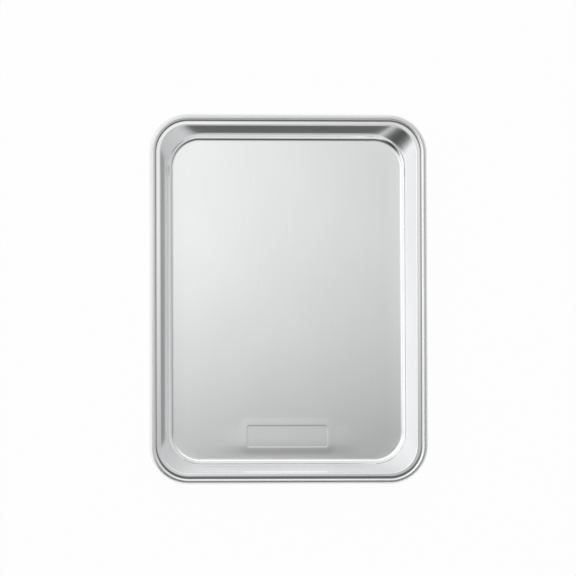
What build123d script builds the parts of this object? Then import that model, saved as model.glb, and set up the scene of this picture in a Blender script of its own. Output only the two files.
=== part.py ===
from build123d import *
from math import cos, pi, radians, tan
import os

# A rimmed baking pan. One sheet of aluminium is drawn into a shallow tray, its edge is rolled
# round a steel wire, and a plain panel is pressed up from the floor near one end.
# +X runs across the pan, +Y along it and +Z up. The origin is under the middle of the floor,
# on the surface that the pan stands on, and the panel is towards -Y.
# An inset is a distance from the rim's outer edge towards the middle of the pan.

os.makedirs("parts", exist_ok=True)

# Overall size, over the rolled rim
pan_width = 244.0
pan_length = 324.0
pan_height = 25.4

# Sheet and wire. Drawn wire is never quite round, and the top of the roll is as flat.
sheet = 1.0
wire_diameter = 4.0
wire_flatness = 0.02
wire_clearance = 0.05
wire_gap = 1.0

# Rim, seen from above and in section
rim_corner_radius = 34.0
ledge_drop = 1.8
bend_radius = 2.0
wall_inset = 9.7

# Wall and floor
wall_draft = 20.0
floor_fillet = 8.0
floor_corner_radius = 30.0

# Pressed panel, raised from the floor
panel_width = 72.0
panel_length = 20.0
panel_corner_radius = 3.0
panel_rise = 0.8
panel_slope = 45.0
panel_margin = 8.8

# How far a cut goes past the face that it opens
overrun = 1.0

# Rolled rim, whose inside clears the wire
roll_inside = wire_diameter / 2 + wire_clearance
roll_outside = roll_inside + sheet
roll_height = pan_height - roll_outside + wire_flatness
ledge_height = pan_height - ledge_drop

# Inside of the wall, which would meet the ledge and the floor at these corner radii
draft = radians(wall_draft)
top_corner_radius = rim_corner_radius - wall_inset
corner_taper = (floor_corner_radius - top_corner_radius) / (ledge_height - sheet)
wall_skin = sheet / cos(draft)
fillet_reach = floor_fillet * tan((pi / 2 - draft) / 2)
floor_inset = wall_inset + (ledge_height - sheet) * tan(draft) + fillet_reach

# Corner points of the rim's path, at the middle of the wire
path_width = pan_width / 2 - roll_outside
path_length = pan_length / 2 - roll_outside
path_radius = rim_corner_radius - roll_outside

# Place of the panel, and how far its underside stands in from its top side
slope = radians(panel_slope)
panel_place = -pan_length / 2 + floor_inset + panel_margin + panel_length / 2
panel_step = sheet * tan(slope / 2)


def tray_solid(base, top, skin, fillet_radius):
    """The filled tray between two heights, grown outwards by a skin.

    It is closed from its own faces, so that its straight sides are true planes."""
    outlines = []
    for height in (base, top):
        depth = ledge_height - height
        inset = wall_inset + depth * tan(draft) - skin
        radius = top_corner_radius + depth * corner_taper + skin
        with BuildSketch(Plane.XY.offset(height)) as outline:
            RectangleRounded(pan_width - 2 * inset, pan_length - 2 * inset, radius)
        outlines.append(outline.sketch.face())
    faces = list(outlines)
    for lower, upper in zip(outlines[0].edges(), outlines[1].edges()):
        if lower.geom_type == GeomType.LINE:
            corners = [lower @ 0, lower @ 1, upper @ 1, upper @ 0]
            faces.append(Face(Wire.make_polygon(corners)))
        else:
            faces.append(Face.make_surface_from_curves(lower, upper))
    with BuildPart() as tray:
        add(Solid(Shell(faces)))
        floor_edges = tray.faces().sort_by(Axis.Z)[0].edges()
        fillet(floor_edges, radius=fillet_radius)
    return tray.part


def panel_solid(base, inset):
    """The block of the pressed panel, with sloping sides that rise from a base height."""
    side_run = panel_rise / tan(slope)
    width = panel_width - 2 * inset
    length = panel_length - 2 * inset
    radius = panel_corner_radius - inset
    with BuildPart() as panel:
        with BuildSketch(Plane((0, panel_place, base))):
            RectangleRounded(width, length, radius)
        with BuildSketch(Plane((0, panel_place, base + panel_rise))):
            RectangleRounded(width - 2 * side_run, length - 2 * side_run, radius - side_run)
        loft(ruled=True)
    return panel.part


# Rim: in section, a ledge that runs out from the wall into a roll round the wire. Below the
# ledge the roll is cut away, so the edge of the sheet ends under the middle of the wire.
rim_start = (-pan_width / 2, path_length - path_radius, 0)
rim_plane = Plane(rim_start, x_dir=(1, 0, 0), z_dir=(0, -1, 0))
with BuildPart() as rim:
    with BuildLine(Plane.XY.offset(roll_height)) as rim_path:
        FilletPolyline(
            (path_width, path_length),
            (path_width, -path_length),
            (-path_width, -path_length),
            (-path_width, path_length),
            radius=path_radius,
            close=True,
        )
    with BuildSketch(rim_plane):
        with Locations((roll_outside, roll_height)):
            Ellipse(roll_outside, roll_outside - wire_flatness)
        with Locations((wall_inset, ledge_height)):
            Rectangle(wall_inset - roll_outside, sheet, align=(Align.MAX, Align.MAX))
        with Locations((roll_outside, ledge_height - sheet)):
            Rectangle(
                wall_inset, 2 * roll_outside, align=(Align.MIN, Align.MAX), mode=Mode.SUBTRACT
            )
        with Locations((roll_outside, roll_height)):
            Circle(roll_inside, mode=Mode.SUBTRACT)
    sweep(path=rim_path.wires()[0])

# The sheet: the filled tray and its rim, less the inside, with the panel pressed up.
# The bend under the ledge and the one on it round the edges that the step before has made.
with BuildPart() as pan_sheet:
    add(tray_solid(0, ledge_height, wall_skin, floor_fillet + sheet))
    add(rim.part)
    fillet(pan_sheet.edges(Select.NEW), radius=bend_radius - sheet)
    add(tray_solid(sheet, ledge_height + overrun, 0, floor_fillet), mode=Mode.SUBTRACT)
    fillet(pan_sheet.edges(Select.NEW), radius=bend_radius)
    add(panel_solid(sheet, 0))
    add(panel_solid(0, panel_step), mode=Mode.SUBTRACT)

pan_sheet.part.label = "pan_sheet"
export_step(pan_sheet.part, "parts/pan_sheet.step")

# Wire inside the rolled rim, its ends butted with a gap halfway along the +Y side
with BuildPart() as rim_wire:
    with BuildLine(Plane.XY.offset(roll_height)) as wire_path:
        FilletPolyline(
            (wire_gap / 2, path_length),
            (path_width, path_length),
            (path_width, -path_length),
            (-path_width, -path_length),
            (-path_width, path_length),
            (-wire_gap / 2, path_length),
            radius=path_radius,
        )
    wire_start = (wire_gap / 2, path_length, roll_height)
    with BuildSketch(Plane(wire_start, x_dir=(0, 1, 0), z_dir=(1, 0, 0))):
        Ellipse(wire_diameter / 2, wire_diameter / 2 - wire_flatness)
    sweep(path=wire_path.wires()[0])

rim_wire.part.label = "rim_wire"
export_step(rim_wire.part, "parts/rim_wire.step")
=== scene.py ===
import math

import bpy
from mathutils import Matrix, Vector


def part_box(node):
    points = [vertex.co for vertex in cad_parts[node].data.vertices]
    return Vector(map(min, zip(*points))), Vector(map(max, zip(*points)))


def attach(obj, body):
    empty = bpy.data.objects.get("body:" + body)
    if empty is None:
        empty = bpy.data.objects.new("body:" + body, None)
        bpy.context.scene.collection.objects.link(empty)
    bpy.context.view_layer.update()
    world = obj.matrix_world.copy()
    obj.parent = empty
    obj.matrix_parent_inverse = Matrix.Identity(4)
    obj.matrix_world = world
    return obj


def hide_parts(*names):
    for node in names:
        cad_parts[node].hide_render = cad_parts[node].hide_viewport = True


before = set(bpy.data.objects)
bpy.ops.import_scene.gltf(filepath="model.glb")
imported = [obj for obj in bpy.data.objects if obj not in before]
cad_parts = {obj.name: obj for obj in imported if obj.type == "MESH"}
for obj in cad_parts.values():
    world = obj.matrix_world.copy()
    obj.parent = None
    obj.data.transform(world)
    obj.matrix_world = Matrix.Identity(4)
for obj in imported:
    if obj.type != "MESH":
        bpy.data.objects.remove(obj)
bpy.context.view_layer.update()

# The CAD box of the sheet, from which the pan's overall size is read
sheet_low, sheet_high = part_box("pan_sheet")

MM = 0.001

# Overall size, read from the CAD node
HALF_WIDTH = (sheet_high.x - sheet_low.x) / 2
HALF_LENGTH = (sheet_high.y - sheet_low.y) / 2
HEIGHT = sheet_high.z

# Sheet, rim and wall, with the sizes of the CAD model, apart from a tighter bend at the top of
# the wall and a ledge that rises slightly to the rim
SHEET = 1.0 * MM
ROLL_INSIDE = 2.05 * MM
RIM_CORNER_RADIUS = 34.0 * MM
LEDGE_DROP = 1.8 * MM
LEDGE_RISE = 0.18 * MM
CREASE_RADIUS = 0.5 * MM
BEND_RADIUS = 1.0 * MM
WALL_INSET = 9.7 * MM
WALL_DRAFT = math.radians(20.0)
FLOOR_FILLET = 8.0 * MM
FLOOR_CORNER_RADIUS = 30.0 * MM

# The fillet of the floor is tighter at the floor than at the wall
FILLET_EASING = 1.5

# Steps of the section's parts
FILLET_STEPS = 16
WALL_STEPS = 8
BEND_STEPS = 9
LEDGE_STEPS = 9
CREASE_STEPS = 6
ROLL_STEPS = 34

# Pressed panel: a plate that is sunk slightly into its raised surround, both on a faint swell
# of the floor beside the near wall
PANEL_WIDTH = 72.0 * MM
PANEL_LENGTH = 20.0 * MM
PANEL_CORNER_RADIUS = 3.0 * MM
PANEL_MARGIN = 8.8 * MM
PANEL_SLOPE = math.radians(45.0)
PANEL_DROP = 0.08 * MM
PANEL_SHOULDER = 1.2 * MM
PANEL_DULLNESS = 0.5
SURROUND_RISE = 0.1 * MM
SURROUND_WIDTH = 7.5 * MM
SWELL_RISE = 0.2 * MM
SWELL_MARGIN = 11.5 * MM
SWELL_NEAR = 10.5 * MM
SWELL_FAR = 19.0 * MM
SWELL_FADE = 36.0 * MM

# How far the painted shade in the crease at the roll's foot spreads from it, and how much
# further at the pan's ends
CREASE_SHADE_SPREAD = 1.05 * MM
NEAR_CREASE_SHADE = 0.8
FAR_CREASE_SHADE = 0.3

ROLL_OUTSIDE = ROLL_INSIDE + SHEET
ROLL_HEIGHT = HEIGHT - ROLL_OUTSIDE
LEDGE_HEIGHT = HEIGHT - LEDGE_DROP
WALL_DEPTH = LEDGE_HEIGHT - SHEET
WALL_RUN = WALL_DEPTH * math.tan(WALL_DRAFT)
TOP_CORNER_RADIUS = RIM_CORNER_RADIUS - WALL_INSET
FLOOR_REACH = FLOOR_FILLET * math.tan((math.pi / 2 - WALL_DRAFT) / 2)
FLOOR_INSET = WALL_INSET + WALL_RUN + FLOOR_REACH
PANEL_PLACE = -HALF_LENGTH + FLOOR_INSET + PANEL_MARGIN + PANEL_LENGTH / 2
SWELL_PLACE = -HALF_LENGTH + FLOOR_INSET + SWELL_MARGIN

# How far the panel's underside stands in from its top side
PANEL_UNDER_STEP = SHEET * math.tan(PANEL_SLOPE / 2)

# The rim's crease in section: its middle, measured outwards from the wall's top and upwards
ROLL_PLACE = WALL_INSET - ROLL_OUTSIDE
CREASE_HEIGHT = LEDGE_HEIGHT + LEDGE_RISE + CREASE_RADIUS
CREASE_RISE = CREASE_HEIGHT - ROLL_HEIGHT
CREASE_SPAN = math.sqrt((ROLL_OUTSIDE + CREASE_RADIUS) ** 2 - CREASE_RISE**2)
CREASE_PLACE = ROLL_PLACE - CREASE_SPAN
CREASE_LEAN = math.atan2(CREASE_RISE, CREASE_SPAN)
FOOT_PLACE = ROLL_PLACE - ROLL_OUTSIDE * math.cos(CREASE_LEAN)
FOOT_HEIGHT = ROLL_HEIGHT + ROLL_OUTSIDE * math.sin(CREASE_LEAN)


# Small helpers

def spread(start, end, count):
    """Numbers from start to end in even steps, both ends included."""
    return [start + (end - start) * i / count for i in range(count + 1)]


def smooth_step(value):
    """A soft ramp from 0 to 1."""
    value = min(max(value, 0.0), 1.0)
    return value * value * (3 - 2 * value)


def lines_through(stops):
    """Places from the first stop to the last. A stop is a place and the step used after it."""
    lines = [stops[0][0]]
    for (start, step), (end, _) in zip(stops, stops[1:]):
        count = max(1, math.ceil((end - start) / step))
        lines += spread(start, end, count)[1:]
    return lines


def feed(links, socket, value):
    """Links a node's socket to another one, or sets it to a constant."""
    if isinstance(value, bpy.types.NodeSocket):
        links.new(value, socket)
    else:
        socket.default_value = value


# Plan of the pan: the floor's grid, and a loop of samples round it. A sample has a share of the
# way to the corner arcs' middles, and the direction that points outwards there.

TOP_SPINE = (HALF_WIDTH - RIM_CORNER_RADIUS, HALF_LENGTH - RIM_CORNER_RADIUS)
FLOOR_SPINE = (
    HALF_WIDTH - WALL_INSET - WALL_RUN - FLOOR_CORNER_RADIUS,
    HALF_LENGTH - WALL_INSET - WALL_RUN - FLOOR_CORNER_RADIUS,
)
CORNER_STEPS = 24
COARSE = 7.0 * MM
MEDIUM = 1.5 * MM
FINE = 0.4 * MM
LINE_MARGIN = 1.0 * MM
FLOOR_BAND = 1.0 * MM


def column_lines():
    """Places of the floor grid's lines across the pan."""
    side = PANEL_WIDTH / 2
    inner = side - PANEL_CORNER_RADIUS - PANEL_SHOULDER
    half = lines_through([
        (0.0, COARSE), (inner, FINE), (side + LINE_MARGIN, MEDIUM),
        (side + SURROUND_WIDTH, COARSE), (FLOOR_SPINE[0], COARSE),
    ])
    return [-x for x in reversed(half[1:])] + half


def row_lines():
    """Places of the floor grid's lines along the pan, in three runs: corner, middle, corner."""
    reach = FLOOR_SPINE[1]
    end = HALF_LENGTH - FLOOR_INSET - FLOOR_BAND
    low = PANEL_PLACE - PANEL_LENGTH / 2
    high = PANEL_PLACE + PANEL_LENGTH / 2
    near = lines_through([
        (-end, LINE_MARGIN), (low - LINE_MARGIN, FINE), (low + 2 * LINE_MARGIN, MEDIUM),
        (-reach, MEDIUM),
    ])
    middle = lines_through([
        (-reach, MEDIUM), (high - 2 * LINE_MARGIN, FINE), (high + LINE_MARGIN, MEDIUM),
        (high + SURROUND_WIDTH, COARSE), (reach, COARSE),
    ])
    far = spread(reach, end, CORNER_STEPS)
    return near[:-1], middle, far[1:]


COLUMNS = column_lines()
NEAR_ROWS, MIDDLE_ROWS, FAR_ROWS = row_lines()
ROWS = NEAR_ROWS + MIDDLE_ROWS + FAR_ROWS


def side_samples(side):
    """Samples beside the grid's rows, from the near end to the far one."""
    samples = []
    for i in range(len(NEAR_ROWS)):
        turn = math.pi / 2 * (1 - i / len(NEAR_ROWS))
        samples.append(((side, -1), (side * math.cos(turn), -math.sin(turn))))
    for row in MIDDLE_ROWS:
        samples.append(((side, row / FLOOR_SPINE[1]), (side, 0.0)))
    for i in range(len(FAR_ROWS)):
        turn = math.pi / 2 * (i + 1) / len(FAR_ROWS)
        samples.append(((side, 1), (side * math.cos(turn), math.sin(turn))))
    return samples


def loop_samples():
    """The samples in order, anticlockwise from the near right corner of the floor's grid."""
    ends = {}
    for end in (-1, 1):
        ends[end] = [((column / FLOOR_SPINE[0], end), (0.0, end)) for column in COLUMNS[1:-1]]
    return side_samples(1) + ends[1][::-1] + side_samples(-1)[::-1] + ends[-1]


SAMPLES = loop_samples()


# Section of the sheet. A point has its anchor (the floor's or the rim's outline), its offset
# outwards from it, its height and its unit normal (outwards, up).

def fillet_points(turn):
    """The fillet from floor to wall, as (out, up, slope) from the corner that it rounds."""
    slopes = [turn * (1 - (1 - t) ** FILLET_EASING) for t in spread(0.0, 1.0, FILLET_STEPS)]
    out, up = [0.0], [0.0]
    for first, second in zip(slopes, slopes[1:]):
        middle = (first + second) / 2
        out.append(out[-1] + math.cos(middle) / FILLET_STEPS)
        up.append(up[-1] + math.sin(middle) / FILLET_STEPS)
    along_wall = up[-1] / math.sin(turn)
    along_floor = out[-1] - along_wall * math.cos(turn)
    length = 2 * FLOOR_FILLET * math.tan(turn / 2) / (along_wall + along_floor)
    points = []
    for o, u, slope in zip(out, up, slopes):
        points.append(((o - along_floor) * length, u * length, slope))
    return points


def section(slope):
    """The top side of the sheet, from the floor to the end of the roll."""
    points = []
    turn = math.pi / 2 - slope
    fillet = fillet_points(turn)
    for out, up, angle in fillet:
        points.append(("floor", out, SHEET + up, (-math.sin(angle), math.cos(angle))))
    tangent = BEND_RADIUS * math.tan(turn / 2)
    wall_end = WALL_DEPTH - tangent * math.cos(slope)
    for height in spread(fillet[-1][1], wall_end, WALL_STEPS)[1:-1]:
        normal = (-math.cos(slope), math.sin(slope))
        points.append(("floor", height * math.tan(slope), SHEET + height, normal))
    for angle in spread(turn, 0.0, BEND_STEPS):
        points.append((
            "rim", tangent - BEND_RADIUS * math.sin(angle),
            LEDGE_HEIGHT - BEND_RADIUS * (1 - math.cos(angle)),
            (-math.sin(angle), math.cos(angle)),
        ))
    for share in spread(0.0, 1.0, LEDGE_STEPS)[1:-1]:
        place = tangent + share * (CREASE_PLACE - tangent)
        points.append(("rim", place, LEDGE_HEIGHT + share * LEDGE_RISE, (0.0, 1.0)))
    for angle in spread(0.0, math.pi / 2 - CREASE_LEAN, CREASE_STEPS):
        points.append((
            "rim", CREASE_PLACE + CREASE_RADIUS * math.sin(angle),
            CREASE_HEIGHT - CREASE_RADIUS * math.cos(angle),
            (-math.sin(angle), math.cos(angle)),
        ))
    for angle in spread(math.pi - CREASE_LEAN, -math.pi / 2, ROLL_STEPS)[1:]:
        points.append((
            "roll", ROLL_PLACE + ROLL_OUTSIDE * math.cos(angle),
            ROLL_HEIGHT + ROLL_OUTSIDE * math.sin(angle),
            (math.cos(angle), math.sin(angle)),
        ))
    return points


def place_point(sample, anchor, offset, height):
    """A point in space from a sample of the plan and a point of the section."""
    share, direction = sample
    outwards = Vector(direction)
    floor_point = Vector((share[0] * FLOOR_SPINE[0], share[1] * FLOOR_SPINE[1]))
    floor_point += outwards * FLOOR_CORNER_RADIUS
    rim_point = Vector((share[0] * TOP_SPINE[0], share[1] * TOP_SPINE[1]))
    rim_point += outwards * TOP_CORNER_RADIUS
    if anchor == "floor":
        along = Vector((-outwards.y, outwards.x))
        slide = (rim_point - floor_point).dot(along)
        rise = min(max((height - SHEET) / WALL_DEPTH, 0.0), 1.0)
        point = floor_point + outwards * offset + along * slide * rise
    else:
        point = rim_point + outwards * offset
    return Vector((point.x, point.y, height))


def wall_slope(sample):
    """The wall's angle off vertical at a sample, which is larger in the corners."""
    share, direction = sample
    run = TOP_CORNER_RADIUS - FLOOR_CORNER_RADIUS
    for axis in (0, 1):
        run += share[axis] * (TOP_SPINE[axis] - FLOOR_SPINE[axis]) * direction[axis]
    return math.atan2(run, WALL_DEPTH)


def panel_depth(x, y):
    """How far inside the panel's outline a place lies; outside it the value is negative."""
    dx = max(abs(x) - PANEL_WIDTH / 2 + PANEL_CORNER_RADIUS, 0.0)
    dy = max(abs(y - PANEL_PLACE) - PANEL_LENGTH / 2 + PANEL_CORNER_RADIUS, 0.0)
    return PANEL_CORNER_RADIUS - math.hypot(dx, dy)


def floor_lift(x, y, shrink):
    """How high the floor stands at a place: the swell, the surround and the sunk panel."""
    inside = panel_depth(x, y) - shrink
    surround = SURROUND_RISE * (1 - smooth_step(-inside / SURROUND_WIDTH))
    drop = PANEL_DROP * smooth_step(inside / PANEL_SHOULDER)
    past = y - SWELL_PLACE
    swell = SWELL_RISE * (1 - smooth_step(max(past / SWELL_FAR, -past / SWELL_NEAR)))
    swell *= 1 - smooth_step((abs(x) - PANEL_WIDTH / 2) / SWELL_FADE)
    return swell + surround - drop


def build_pan():
    """The drawn sheet: floor, wall, ledge, crease and roll, all one closed mesh."""
    vertices, faces, painted_shade, dull = [], [], [], []
    loop = len(SAMPLES)
    profiles = [section(wall_slope(sample)) for sample in SAMPLES]

    def add_vertex(point, painted_shade_here=0.0, dull_here=0.0):
        """Adds a point with its two attributes, and gives its index."""
        vertices.append(point)
        painted_shade.append(painted_shade_here)
        dull.append(dull_here)
        return len(vertices) - 1

    def join(inner, outer, side):
        """Adds the faces between two loops of points, on the top or on the underside."""
        for i in range(loop):
            j = (i + 1) % loop
            face = (inner[i], outer[i], outer[j], inner[j])
            faces.append(face if side == "top" else face[::-1])

    rings = {"top": [], "under": []}
    for side in ("top", "under"):
        depth = 0.0 if side == "top" else SHEET
        for k in range(len(profiles[0])):
            ring = []
            for sample, profile in zip(SAMPLES, profiles):
                anchor, offset, height, normal = profile[k]
                point = place_point(sample, anchor, offset, height)
                across, up = normal
                point -= Vector((sample[1][0] * across, sample[1][1] * across, up)) * depth
                # Painted shade: a dark mask in the crease at the roll's foot on the top side,
                # spreading further at the pan's near and far ends
                shade_spot = 0.0
                if anchor != "floor" and side == "top":
                    away = math.hypot(offset - FOOT_PLACE, height - FOOT_HEIGHT) / CREASE_SHADE_SPREAD
                    north = sample[1][1]
                    more = FAR_CREASE_SHADE * max(north, 0.0) + NEAR_CREASE_SHADE * max(-north, 0.0)
                    shade_spot = 1 - smooth_step(away - more)
                ring.append(add_vertex(point, shade_spot, 1.0 if anchor == "roll" else 0.0))
            rings[side].append(ring)
        for inner, outer in zip(rings[side], rings[side][1:]):
            join(inner, outer, side)
    # The cut edge of the sheet, at the end of the roll
    join(rings["top"][-1], rings["under"][-1], "top")

    # The floor's grid, whose border is joined to the fillet's first ring in the loop's order
    columns, rows = len(COLUMNS), len(ROWS)
    border = [(columns - 1, r) for r in range(rows)]
    border += [(c, rows - 1) for c in range(columns - 2, 0, -1)]
    border += [(0, r) for r in range(rows - 1, -1, -1)]
    border += [(c, 0) for c in range(1, columns - 1)]
    for side in ("top", "under"):
        base = SHEET if side == "top" else 0.0
        shrink = 0.0 if side == "top" else PANEL_UNDER_STEP
        index = {}
        for r, y in enumerate(ROWS):
            for c, x in enumerate(COLUMNS):
                point = Vector((x, y, base + floor_lift(x, y, shrink)))
                dull_here = PANEL_DULLNESS * smooth_step(panel_depth(x, y) / PANEL_SHOULDER)
                index[c, r] = add_vertex(point, 0.0, dull_here)
        for r in range(rows - 1):
            for c in range(columns - 1):
                face = (index[c, r], index[c + 1, r], index[c + 1, r + 1], index[c, r + 1])
                faces.append(face if side == "top" else face[::-1])
        edge = [index[cell] for cell in border]
        ring = rings[side][0]
        middle = [add_vertex((vertices[a] + vertices[b]) / 2) for a, b in zip(edge, ring)]
        join(edge, middle, side)
        join(middle, ring, side)

    mesh = bpy.data.meshes.new("pan_sheet_formed")
    mesh.from_pydata([tuple(v) for v in vertices], [], faces)
    # The painted shade of the crease and the roll's dullness, kept on the mesh's points
    for name, values in (("painted_shade", painted_shade), ("dull", dull)):
        attribute = mesh.attributes.new(name, "FLOAT", "POINT")
        attribute.data.foreach_set("value", values)
    mesh.polygons.foreach_set("use_smooth", [True] * len(mesh.polygons))
    mesh.update()
    made = bpy.data.objects.new("pan_sheet_formed", mesh)
    bpy.context.collection.objects.link(made)
    return made


# Materials. A pair of colours or of roughnesses is the two ends of a range, and dull places and
# the painted shade in the crease at the roll's foot are rougher by up to DULL_ROUGHNESS.

ALUMINIUM = ((0.89, 0.895, 0.9, 1.0), (0.925, 0.93, 0.935, 1.0))
# Painted shade in the crease at the roll's foot: its dark colour and how strongly it is mixed
# in
CREASE_SHADE_COLOUR = (0.10, 0.10, 0.105, 1.0)
CREASE_SHADE_STRENGTH = 0.9
ROUGHNESS = (0.10, 0.14)
DULL_ROUGHNESS = 0.25
ZINC = ((0.52, 0.54, 0.56, 1.0), (0.68, 0.70, 0.72, 1.0))
ZINC_ROUGHNESS = (0.38, 0.55)
MOTTLE_SCALE = 900.0

# Noises, as scale, stretch along the axes and detail, and the parts of their ranges in use
GRAIN = (1.0, (900.0, 25.0, 900.0), 3.0)
GRAIN_RANGE = (0.3, 0.7)
CLOUDS = (14.0, (1.0, 1.0, 1.0), 4.0)
CLOUD_RANGE = (0.25, 0.75)
STREAKS = (1.0, (9.0, 9.0, 450.0), 1.0)

# Bumps, as strength and distance
GRAIN_BUMP = (0.02, 0.02 * MM)
STREAK_BUMP = (0.3, 0.12 * MM)
ZINC_BUMP = (0.2, 0.03 * MM)


class Shader:
    """A new node material with a metallic Principled shader, and short ways to add nodes."""

    def __init__(self, name):
        self.material = bpy.data.materials.new(name)
        self.material.use_nodes = True
        self.nodes = self.material.node_tree.nodes
        self.links = self.material.node_tree.links
        self.inputs = self.nodes["Principled BSDF"].inputs
        self.inputs["Metallic"].default_value = 1.0
        self.place = self.nodes.new("ShaderNodeTexCoord").outputs["Object"]

    def add(self, kind, result, **sockets):
        """Adds a node, sets or links its named sockets, and gives its result."""
        node = self.nodes.new(kind)
        for name, value in sockets.items():
            feed(self.links, node.inputs[name.replace("_", " ")], value)
        return node.outputs[result]

    def noise(self, scale, stretch, detail):
        """Noise from 0 to 1, its cells stretched along the axes."""
        place = self.add("ShaderNodeMapping", "Vector", Vector=self.place, Scale=stretch)
        return self.add("ShaderNodeTexNoise", "Fac", Vector=place, Scale=scale, Detail=detail)

    def ramp(self, value, start, end, low=0.0, high=1.0):
        """The value's range from start to end, spread from low to high."""
        node = self.nodes.new("ShaderNodeMapRange")
        self.links.new(value, node.inputs["Value"])
        limits = (("From Min", start), ("From Max", end), ("To Min", low), ("To Max", high))
        for name, limit in limits:
            node.inputs[name].default_value = limit
        return node.outputs["Result"]

    def blend(self, share, first, second):
        """A colour between two, by the share of the second.

        The Mix node has these three at sockets 0, 6 and 7, and its colour at output 2."""
        node = self.nodes.new("ShaderNodeMix")
        node.data_type = "RGBA"
        for index, value in ((0, share), (6, first), (7, second)):
            feed(self.links, node.inputs[index], value)
        return node.outputs[2]

    def maths(self, operation, first, second):
        """A Math node of two values."""
        node = self.nodes.new("ShaderNodeMath")
        node.operation = operation
        for socket, value in zip(node.inputs, (first, second)):
            feed(self.links, socket, value)
        return node.outputs[0]

    def bump(self, height, size, **sockets):
        """A bump from a height, by its strength and its distance."""
        return self.add(
            "ShaderNodeBump", "Normal", Height=height, Strength=size[0], Distance=size[1],
            **sockets
        )

    def attribute(self, name):
        """A value kept on the mesh's points."""
        node = self.nodes.new("ShaderNodeAttribute")
        node.attribute_name = name
        return node.outputs["Fac"]


def aluminium():
    """Rolled sheet: grain along the pan, drawn streaks on the walls, a dull roll with painted
    shade in the crease at its foot.
    """
    look = Shader("aluminium_sheet_rolled")
    grain = look.noise(*GRAIN)
    colour = look.blend(look.ramp(look.noise(*CLOUDS), *CLOUD_RANGE), *ALUMINIUM)
    # Painted shade: the base colour is darkened in the crease at the roll's foot, which is also
    # made rougher
    painted_shade = look.maths("MULTIPLY", look.attribute("painted_shade"), CREASE_SHADE_STRENGTH)
    look.links.new(look.blend(painted_shade, colour, CREASE_SHADE_COLOUR), look.inputs["Base Color"])
    rough = look.ramp(grain, *GRAIN_RANGE, *ROUGHNESS)
    dull = look.maths("ADD", look.attribute("dull"), painted_shade)
    rough = look.maths("ADD", rough, look.maths("MULTIPLY", dull, DULL_ROUGHNESS))
    look.links.new(rough, look.inputs["Roughness"])
    drawn = look.bump(look.noise(*STREAKS), STREAK_BUMP)
    look.links.new(look.bump(grain, GRAIN_BUMP, Normal=drawn), look.inputs["Normal"])
    return look.material


def galvanised():
    """Zinc-coated steel wire: dull, with a fine mottle."""
    look = Shader("galvanised_wire_zinc")
    mottle = look.add("ShaderNodeTexVoronoi", "Distance", Vector=look.place, Scale=MOTTLE_SCALE)
    look.links.new(look.blend(mottle, *ZINC), look.inputs["Base Color"])
    look.links.new(look.ramp(mottle, 0.0, 1.0, *ZINC_ROUGHNESS), look.inputs["Roughness"])
    look.links.new(look.bump(mottle, ZINC_BUMP), look.inputs["Normal"])
    return look.material


pan = build_pan()
pan.data.materials.append(aluminium())
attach(pan, "root")
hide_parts("pan_sheet")

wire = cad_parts["rim_wire"]
zinc = galvanised()
for slot in wire.material_slots:
    slot.material = zinc
if not wire.material_slots:
    wire.data.materials.append(zinc)


# Floor, just under the pan

FLOOR_HALF = 3.0
FLOOR_PLACE = -0.0002
FLOOR_COLOUR = (0.93, 0.93, 0.93, 1.0)
FLOOR_WHITE = 0.97


def studio_floor():
    """A plain white floor, which shows white to the camera and in the metal."""
    h = FLOOR_HALF
    mesh = bpy.data.meshes.new("studio_floor")
    mesh.from_pydata([(-h, -h, 0), (h, -h, 0), (h, h, 0), (-h, h, 0)], [], [(0, 1, 2, 3)])
    floor = bpy.data.objects.new("studio_floor", mesh)
    floor.location.z = FLOOR_PLACE
    bpy.context.collection.objects.link(floor)
    made = bpy.data.materials.new("studio_white")
    made.use_nodes = True
    nodes, links = made.node_tree.nodes, made.node_tree.links
    nodes.clear()
    output = nodes.new("ShaderNodeOutputMaterial")
    diffuse = nodes.new("ShaderNodeBsdfDiffuse")
    diffuse.inputs["Color"].default_value = FLOOR_COLOUR
    glow = nodes.new("ShaderNodeEmission")
    rays = nodes.new("ShaderNodeLightPath")
    share = rays.outputs["Is Camera Ray"]
    for operation, other in (("MAXIMUM", rays.outputs["Is Glossy Ray"]),
                             ("MAXIMUM", rays.outputs["Is Transmission Ray"]),
                             ("MULTIPLY", FLOOR_WHITE)):
        node = nodes.new("ShaderNodeMath")
        node.operation = operation
        links.new(share, node.inputs[0])
        feed(links, node.inputs[1], other)
        share = node.outputs[0]
    mix = nodes.new("ShaderNodeMixShader")
    links.new(share, mix.inputs[0])
    links.new(diffuse.outputs[0], mix.inputs[1])
    links.new(glow.outputs[0], mix.inputs[2])
    links.new(mix.outputs[0], output.inputs["Surface"])
    mesh.materials.append(made)


studio_floor()


# Light: a pale room that is brighter to the west, its ceiling dark towards the south, with a
# dark screen in the south-west and a large softbox overhead that fades towards the south.
# A place is an azimuth (0 north, 90 east) and an angle from straight up, and an edge is the two
# angles from its place between which the level changes, all in degrees.

CEILING = 0.04
ROOM = 0.85
ROOM_WEST = 0.3
CEILING_PLACE = (165, 14)
CEILING_EDGE = (24, 52)
SCREEN = 0.05
SCREEN_PLACE = (218, 60)
SCREEN_EDGE = (4, 30)
SOFTBOX_PLACE = (0.0, -0.02, 0.8)
SOFTBOX_SIZE = (0.9, 0.9)
SOFTBOX_LEVEL = 0.865
SOFTBOX_WEST = 1.1
SOFTBOX_FADE = 0.703


def sky_direction(azimuth, zenith):
    """Unit vector from an azimuth and an angle from straight up."""
    azimuth, zenith = math.radians(azimuth), math.radians(zenith)
    return (
        math.sin(zenith) * math.sin(azimuth),
        math.sin(zenith) * math.cos(azimuth),
        math.cos(zenith),
    )


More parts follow.
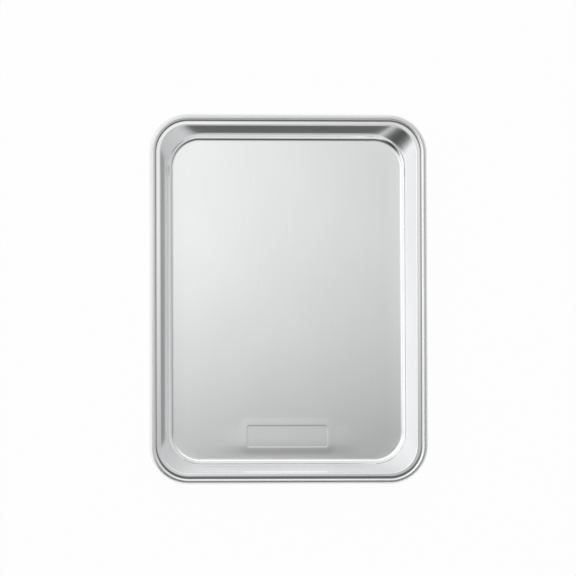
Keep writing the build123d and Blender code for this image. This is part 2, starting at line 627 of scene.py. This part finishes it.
def studio_world():
    """The room: its walls' level, which rises to the west, less its dark ceiling and screen."""
    world = bpy.data.worlds.new("studio")
    bpy.context.scene.world = world
    world.use_nodes = True
    nodes, links = world.node_tree.nodes, world.node_tree.links
    place = nodes.new("ShaderNodeTexCoord")

    def along(direction):
        """How far the view's direction goes along a direction."""
        node = nodes.new("ShaderNodeVectorMath")
        node.operation = "DOT_PRODUCT"
        node.inputs[1].default_value = direction
        links.new(place.outputs["Generated"], node.inputs[0])
        return node.outputs["Value"]

    def dark_patch(direction, edge, dark, level):
        """A level that falls to a dark one round a direction, between the edge's two angles."""
        ramp = nodes.new("ShaderNodeMapRange")
        ramp.interpolation_type = "SMOOTHSTEP"
        ramp.inputs["From Min"].default_value = math.cos(math.radians(edge[0]))
        ramp.inputs["From Max"].default_value = math.cos(math.radians(edge[1]))
        ramp.inputs["To Min"].default_value = dark
        links.new(along(sky_direction(*direction)), ramp.inputs["Value"])
        links.new(level, ramp.inputs["To Max"])
        return ramp.outputs["Result"]

    walls = nodes.new("ShaderNodeMath")
    walls.operation = "ADD"
    walls.inputs[1].default_value = ROOM
    links.new(along((-ROOM_WEST * ROOM, 0.0, 0.0)), walls.inputs[0])
    level = dark_patch(SCREEN_PLACE, SCREEN_EDGE, SCREEN, walls.outputs[0])
    level = dark_patch(CEILING_PLACE, CEILING_EDGE, CEILING, level)
    links.new(level, nodes["Background"].inputs["Color"])


def softbox():
    """The overhead lamp. It fades out towards the south and is brighter to the west."""
    data = bpy.data.lights.new("softbox", "AREA")
    data.shape = "RECTANGLE"
    data.size, data.size_y = SOFTBOX_SIZE
    data.energy = SOFTBOX_LEVEL * math.pi * data.size * data.size_y
    data.use_nodes = True
    nodes, links = data.node_tree.nodes, data.node_tree.links
    place = nodes.new("ShaderNodeNewGeometry")
    split = nodes.new("ShaderNodeSeparateXYZ")
    links.new(place.outputs["Parametric"], split.inputs[0])
    fade = nodes.new("ShaderNodeMapRange")
    fade.interpolation_type = "SMOOTHSTEP"
    fade.inputs["From Max"].default_value = SOFTBOX_FADE
    links.new(split.outputs[1], fade.inputs["Value"])
    side = nodes.new("ShaderNodeMapRange")
    side.inputs["To Min"].default_value = 1.0 + SOFTBOX_WEST / 2
    side.inputs["To Max"].default_value = 1.0 - SOFTBOX_WEST / 2
    links.new(split.outputs[0], side.inputs["Value"])
    level = nodes.new("ShaderNodeMath")
    level.operation = "MULTIPLY"
    links.new(fade.outputs["Result"], level.inputs[0])
    links.new(side.outputs["Result"], level.inputs[1])
    links.new(level.outputs[0], nodes["Emission"].inputs["Strength"])
    lamp = bpy.data.objects.new("softbox", data)
    lamp.location = SOFTBOX_PLACE
    bpy.context.collection.objects.link(lamp)


studio_world()
softbox()


# Camera, nearly above the pan, a little to its left and near side. PIXEL is the size of one of
# the photo's pixels at the rim's height.

PHOTO_WIDTH = 576
PIXEL = 0.8742 * MM
PAN_MIDDLE_PIXEL = (288.95, 298.7)
CAMERA_DISTANCE = 4.0
CAMERA_CLIP = 20.0
SENSOR = 36.0
LEAN_WEST = math.radians(4.2)
LEAN_SOUTH = math.radians(3.0)
ROLL = math.radians(0.17)


def photo_camera():
    """The photograph's view: far off, so that the rim's outline is nearly undistorted."""
    half = PHOTO_WIDTH / 2
    aim = Vector((
        (half - PAN_MIDDLE_PIXEL[0]) * PIXEL, (PAN_MIDDLE_PIXEL[1] - half) * PIXEL, HEIGHT
    ))
    back = Vector((-math.tan(LEAN_WEST), -math.tan(LEAN_SOUTH), 1.0)).normalized()
    right = Vector((0.0, 1.0, 0.0)).cross(back).normalized()
    turn = Matrix((right, back.cross(right), back)).transposed().to_4x4()
    data = bpy.data.cameras.new("photo_camera")
    data.sensor_width = SENSOR
    data.lens = SENSOR * CAMERA_DISTANCE / (PHOTO_WIDTH * PIXEL)
    data.clip_end = CAMERA_CLIP
    camera = bpy.data.objects.new("photo_camera", data)
    place = Matrix.Translation(aim + back * CAMERA_DISTANCE)
    camera.matrix_world = place @ turn @ Matrix.Rotation(-ROLL, 4, "Z")
    bpy.context.collection.objects.link(camera)
    bpy.context.scene.camera = camera


photo_camera()
bpy.context.scene.view_settings.view_transform = "Standard"
